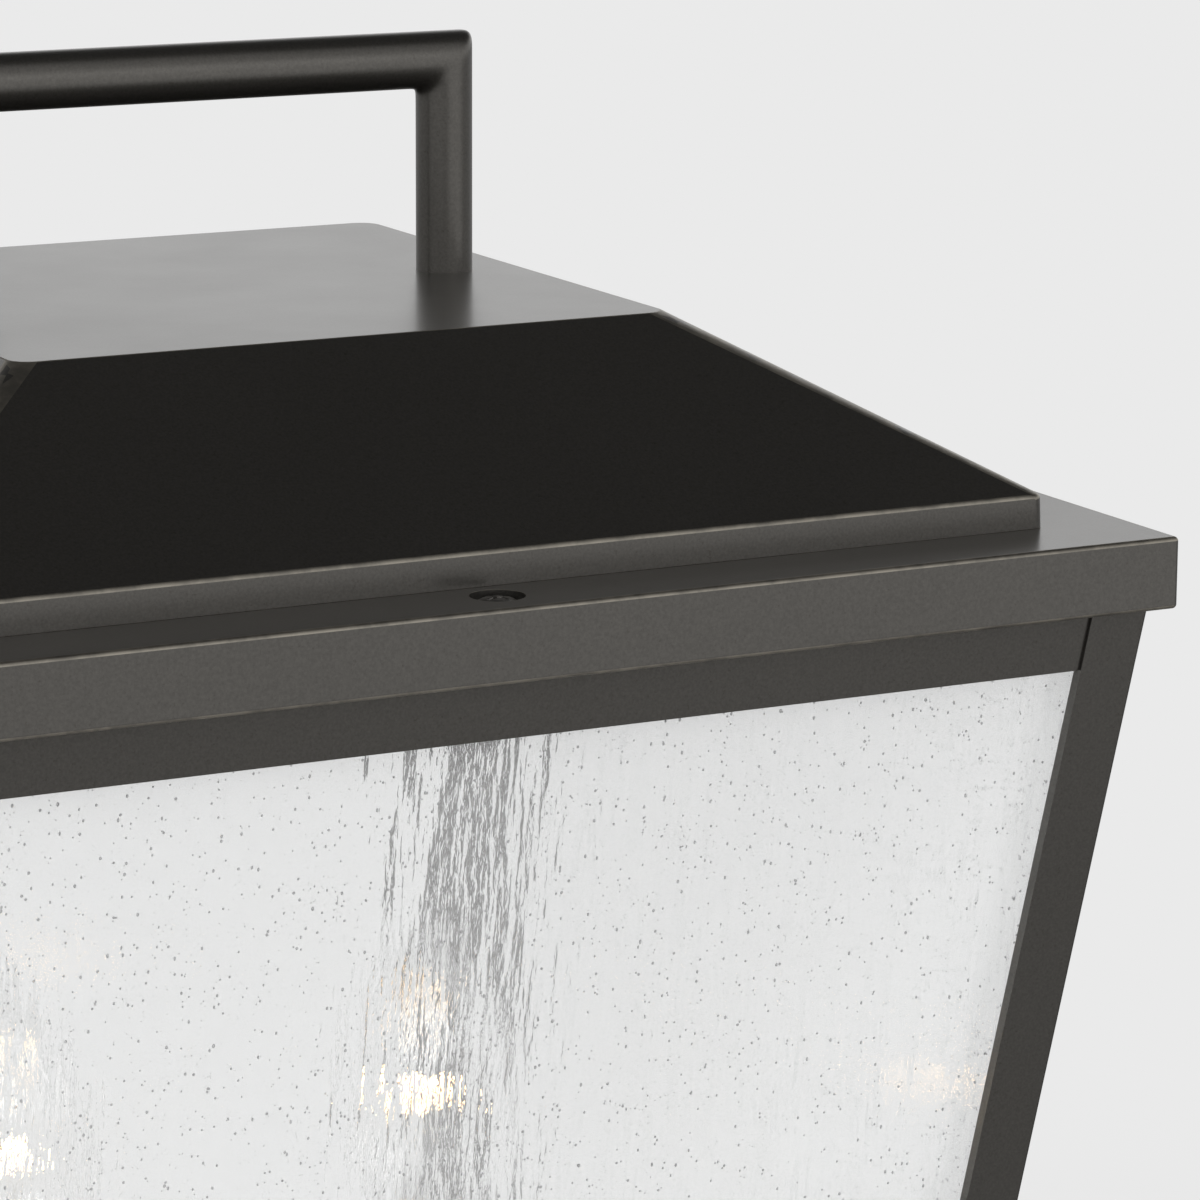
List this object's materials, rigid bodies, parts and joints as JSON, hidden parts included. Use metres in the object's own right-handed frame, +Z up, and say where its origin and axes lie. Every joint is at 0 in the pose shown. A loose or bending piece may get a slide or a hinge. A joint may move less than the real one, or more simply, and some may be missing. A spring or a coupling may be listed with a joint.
{
  "type": "post top lantern",
  "caption": "Square tapered post top lantern with seeded glass panes, a hipped lift-off roof, a rod handle and a round post fitter.",
  "frame": {"origin": "centre of the post fitter's open mouth, where the lantern drops over its post", "axes": "+Z up along the post; -Y is the front, so the bar of the handle runs along X"},
  "size_m": [0.309, 0.309, 0.5308],
  "materials": {
    "dark_bronze": "satin dark bronze powder coat",
    "seeded_glass": "clear glass with seed bubbles and upright reams",
    "plated_steel": "zinc plated",
    "socket_black": "moulded phenolic",
    "candle_ivory": "matte ivory card and resin",
    "bulb_brass": "bright",
    "bulb_glass": "clear blown glass",
    "filament": "glass mount with a warm filament"
  },
  "bodies": {
    "cage": {"post_fitter": "dark_bronze", "neck": "dark_bronze", "base_tray": "dark_bronze", "corner_post_front_right": "dark_bronze", "corner_post_rear_right": "dark_bronze", "corner_post_rear_left": "dark_bronze", "corner_post_front_left": "dark_bronze", "top_rail_front": "dark_bronze", "top_rail_right": "dark_bronze", "top_rail_rear": "dark_bronze", "top_rail_left": "dark_bronze", "bottom_rail_front": "dark_bronze", "bottom_rail_right": "dark_bronze", "bottom_rail_rear": "dark_bronze", "bottom_rail_left": "dark_bronze", "glass_front": "seeded_glass", "glass_right": "seeded_glass", "glass_rear": "seeded_glass", "glass_left": "seeded_glass", "glass_clips": "plated_steel", "clip_screws": "plated_steel", "stem": "plated_steel", "stem_washer": "plated_steel", "stem_nut": "plated_steel", "column": "dark_bronze", "cluster_cup": "dark_bronze", "finial": "dark_bronze", "lamp_bar": "dark_bronze", "socket_nuts": "plated_steel", "drip_cup_left": "dark_bronze", "drip_cup_right": "dark_bronze", "socket_left": "socket_black", "socket_right": "socket_black", "candle_sleeve_left": "candle_ivory", "candle_sleeve_right": "candle_ivory"},
    "cap": {"cap_ring": "dark_bronze", "roof_shell": "dark_bronze", "handle": "dark_bronze", "handle_washers": "plated_steel", "handle_nuts": "plated_steel", "cap_screws": "dark_bronze"},
    "bulb_left": {"bulb_base_left": "bulb_brass", "bulb_glass_left": "bulb_glass", "bulb_filament_left": "filament"},
    "bulb_right": {"bulb_base_right": "bulb_brass", "bulb_glass_right": "bulb_glass", "bulb_filament_right": "filament"},
    "set_screw_front": {"set_screw_front": "dark_bronze"},
    "set_screw_right": {"set_screw_right": "dark_bronze"},
    "set_screw_left": {"set_screw_left": "dark_bronze"}
  },
  "joints": [
    {"name": "cap_lift", "type": "slide", "parent": "cage", "child": "cap", "axis": [0, 0, 1], "range_m": [0, 0.25]},
    {"name": "bulb_pull_left", "type": "slide", "parent": "cage", "child": "bulb_left", "axis": [0, 0, 1], "range_m": [0, 0.06]},
    {"name": "bulb_pull_right", "type": "slide", "parent": "cage", "child": "bulb_right", "axis": [0, 0, 1], "range_m": [0, 0.06]},
    {"name": "set_screw_travel_front", "type": "slide", "parent": "cage", "child": "set_screw_front", "axis": [0, -1, 0], "range_m": [-0.005, 0.005]},
    {"name": "set_screw_travel_right", "type": "slide", "parent": "cage", "child": "set_screw_right", "axis": [0.866, 0.5, 0], "range_m": [-0.005, 0.005]},
    {"name": "set_screw_travel_left", "type": "slide", "parent": "cage", "child": "set_screw_left", "axis": [-0.866, 0.5, 0], "range_m": [-0.005, 0.005]}
  ]
}
